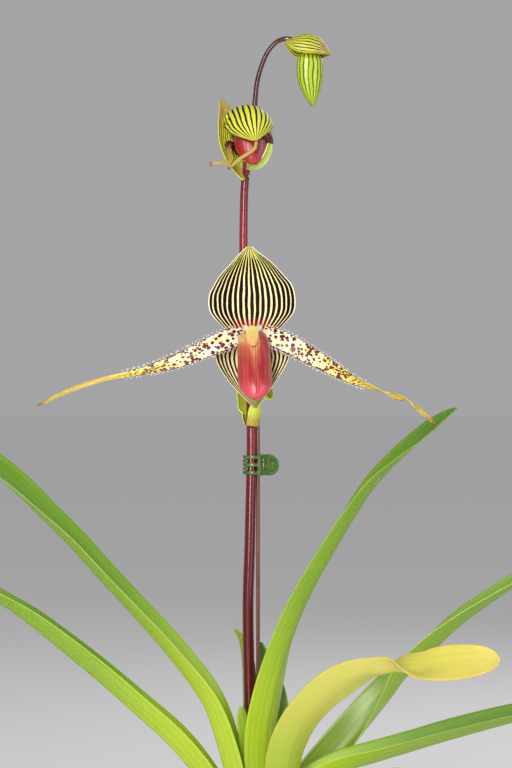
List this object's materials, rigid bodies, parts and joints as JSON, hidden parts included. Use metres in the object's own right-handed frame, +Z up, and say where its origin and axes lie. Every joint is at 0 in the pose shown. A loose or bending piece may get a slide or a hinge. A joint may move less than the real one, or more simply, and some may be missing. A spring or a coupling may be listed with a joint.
{
  "type": "potted rothschild slipper orchid",
  "caption": "Slipper orchid in a clay pot: strap leaves, a staked flower stem with an open striped flower, an opening flower and a bud, and a sprung claw clip.",
  "frame": {"origin": "centre of the pot's flat base", "axes": "+Z up the pot and flower stem, +X to the right seen from the front, -Y towards the viewer, where the open flower faces"},
  "size_m": [0.5095, 0.2266, 0.7135],
  "materials": {
    "terracotta": "unglazed fired clay",
    "bark": "coarse bark chips",
    "crown_tissue": "waxy leaf bases",
    "stake_coating": "gloss brown coating on steel wire",
    "stem_tissue": "waxy, finely haired",
    "leaf_tissue": "waxy, semi-gloss",
    "yellow_leaf_tissue": "waxy, semi-gloss",
    "striped_sepal": "satin, striped",
    "spotted_petal": "satin, spotted and warty",
    "staminode_tissue": "hairy",
    "bract_tissue": "satin",
    "pouch_tissue": "waxy, semi-gloss",
    "striped_bud": "satin, striped",
    "clip_plastic": "moulded",
    "spring_steel": "drawn wire"
  },
  "bodies": {
    "plant": {"clay_pot": "terracotta", "bark_medium": "bark", "crown": "crown_tissue", "stake": "stake_coating", "flower_stem": "stem_tissue", "leaf_upper_left": "leaf_tissue", "leaf_lower_left": "leaf_tissue", "leaf_tall": "leaf_tissue", "leaf_yellow": "yellow_leaf_tissue", "leaf_behind": "leaf_tissue", "leaf_low_right": "leaf_tissue", "leaf_short_right": "leaf_tissue", "leaf_rear": "leaf_tissue", "leaf_small": "leaf_tissue", "stem_sheath": "bract_tissue", "dorsal_sepal": "striped_sepal", "lower_sepal": "striped_sepal", "petal_left": "spotted_petal", "petal_right": "spotted_petal", "staminode": "staminode_tissue", "bract": "bract_tissue", "pouch": "pouch_tissue", "second_pouch": "pouch_tissue", "second_hood": "striped_bud", "second_petal_left": "spotted_petal", "second_petal_right": "spotted_petal", "second_lower_sepal": "striped_bud", "second_bract": "striped_bud", "top_bract": "striped_bud", "top_bud": "striped_bud", "clip_back_jaw": "clip_plastic", "clip_spring": "spring_steel"},
    "front_jaw": {"clip_front_jaw": "clip_plastic"}
  },
  "joints": [
    {"name": "clip_hinge", "type": "hinge", "parent": "plant", "child": "front_jaw", "pos_m": [0.0095, 0.0026, 0.4116], "axis": [0, 0, 1], "range_deg": [0, 25], "stiffness_Nm_per_rad": 0.01}
  ]
}
